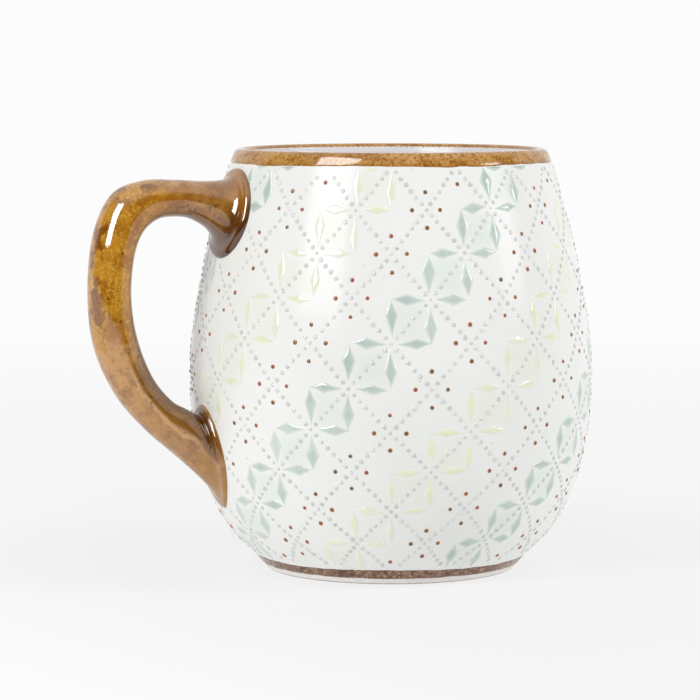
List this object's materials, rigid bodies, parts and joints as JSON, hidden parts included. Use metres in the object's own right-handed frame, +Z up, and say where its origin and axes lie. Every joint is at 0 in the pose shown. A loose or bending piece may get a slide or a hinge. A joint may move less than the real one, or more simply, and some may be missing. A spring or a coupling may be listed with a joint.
{
  "type": "mug",
  "caption": "Barrel-shaped stoneware mug with a narrowed round lip, a pulled loop handle on one side and a turned foot ring, for hot and cold drinks.",
  "frame": {"origin": "on the surface that the mug stands on, under the middle of its whole outline; the axis of the body is 14.45 mm towards +X", "axes": "+Z up along the axis of the body, -X from the body towards the handle, +Y across the handle"},
  "size_m": [0.1303, 0.1016, 0.106],
  "materials": {
    "bare_clay": "matte, unglazed",
    "joint_slip": "matte",
    "white_glaze": "high gloss",
    "rim_glaze": "gloss, fine dark speckle",
    "foot_glaze": "gloss, fine dark speckle",
    "amber_glaze": "high gloss, mottled",
    "celadon_enamel": "gloss, raised",
    "lime_enamel": "gloss, raised",
    "bead_glaze": "gloss, raised dots",
    "rust_enamel": "gloss, raised dots"
  },
  "bodies": {
    "root": {"body": "bare_clay", "handle": "bare_clay", "upper_joint_slip": "joint_slip", "lower_joint_slip": "joint_slip", "outer_glaze": "white_glaze", "inner_glaze": "white_glaze", "base_glaze": "white_glaze", "rim_band": "rim_glaze", "foot_band": "foot_glaze", "handle_glaze": "amber_glaze"}
  },
  "joints": []
}
